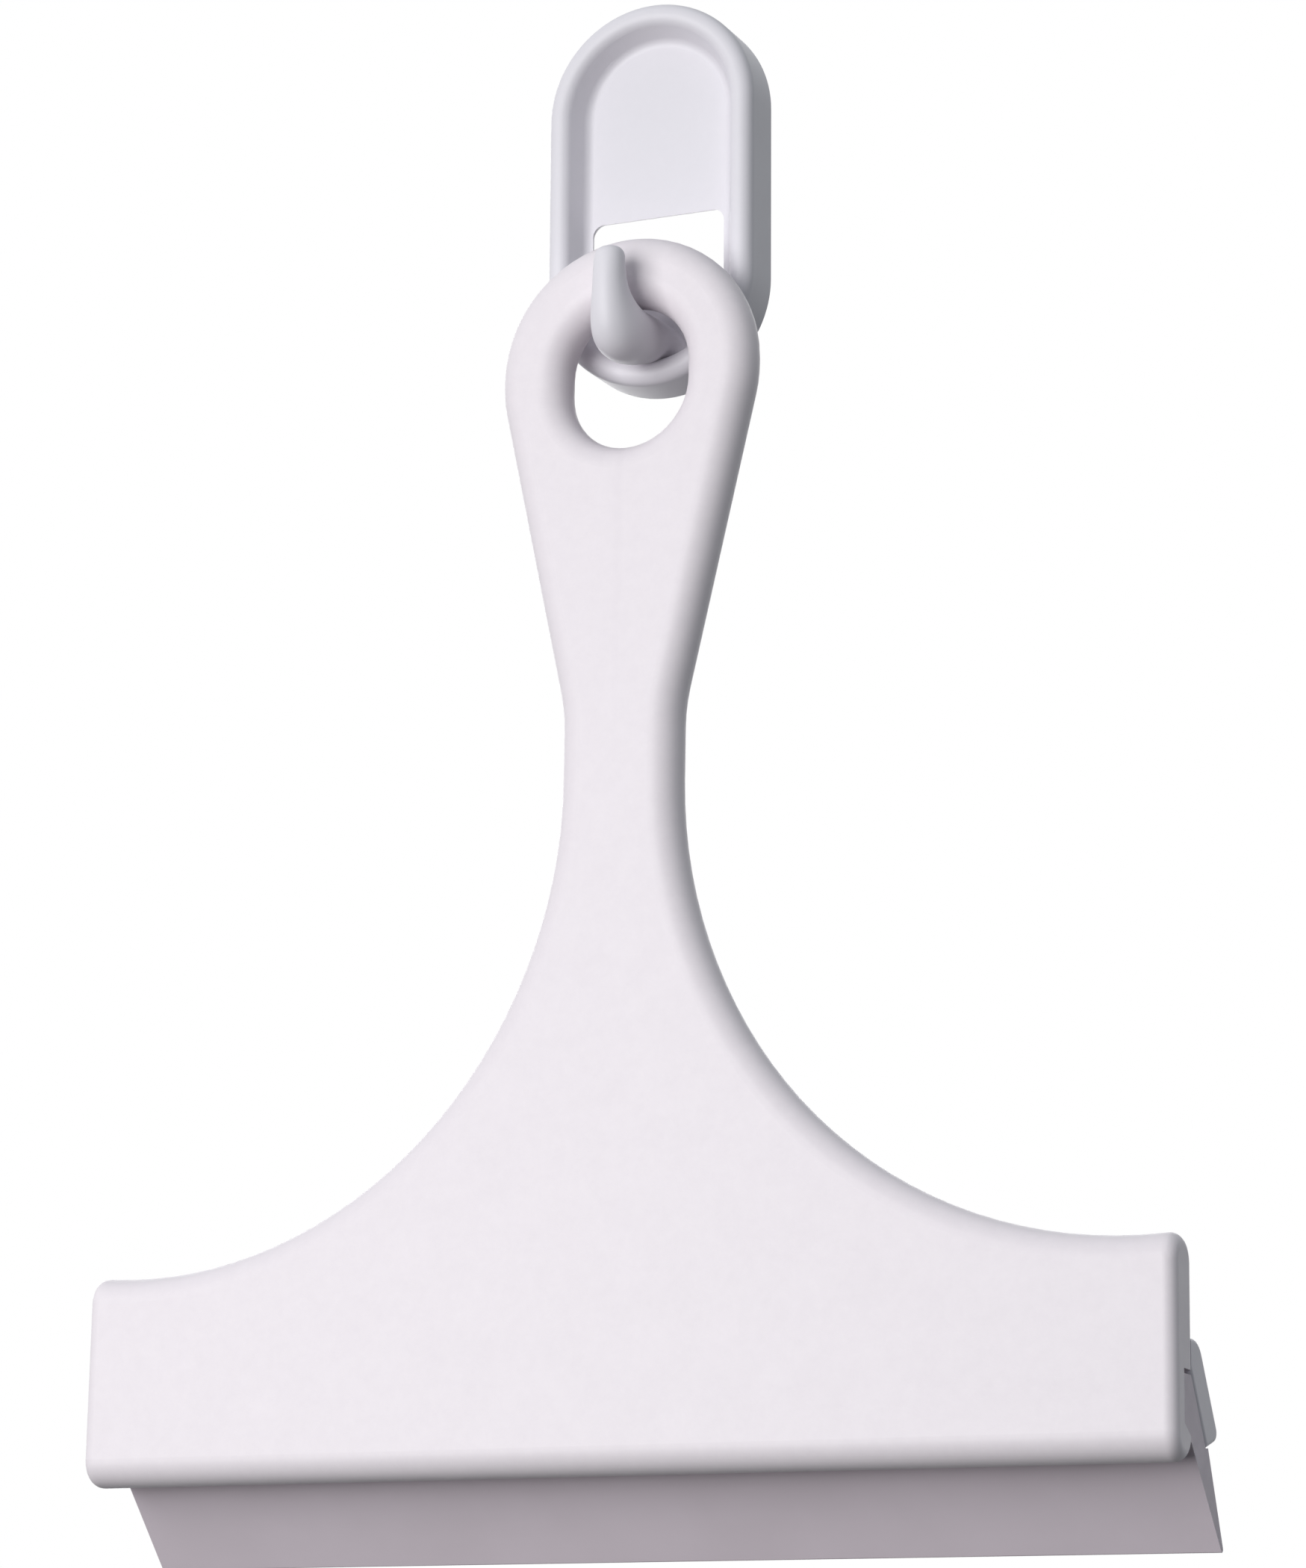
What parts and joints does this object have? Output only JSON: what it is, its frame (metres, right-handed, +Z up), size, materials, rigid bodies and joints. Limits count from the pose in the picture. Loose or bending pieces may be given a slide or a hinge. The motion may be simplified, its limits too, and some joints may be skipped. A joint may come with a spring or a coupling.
{
  "type": "window squeegee",
  "caption": "Flat T-shaped window squeegee with a soft wedge blade and a hanging eye, hung on the finger of an adhesive wall hook.",
  "frame": {"origin": "middle of the adhesive pad's back face, on the wall", "axes": "+Y into the wall, +Z up, +X to the right as seen from the front; the squeegee hangs down from the hook"},
  "size_m": [0.189, 0.0282, 0.2636],
  "materials": {
    "body_plastic": "satin",
    "jaw_plastic": "satin",
    "blade_rubber": "matte",
    "hook_plastic": "satin",
    "pad_foam": "matte"
  },
  "bodies": {
    "hook": {"wall_hook": "hook_plastic", "adhesive_pad": "pad_foam"},
    "squeegee": {"handle_body": "body_plastic", "rear_jaw": "jaw_plastic"},
    "wiper": {"blade": "blade_rubber"}
  },
  "joints": [
    {"name": "hang_swing", "type": "hinge", "parent": "hook", "child": "squeegee", "pos_m": [0, -0.016, -0.0429], "axis": [0, 1, 0], "range_deg": [-25, 25]},
    {"name": "blade_slide", "type": "slide", "parent": "squeegee", "child": "wiper", "axis": [1, 0, 0], "range_m": [0, 0.187]}
  ]
}
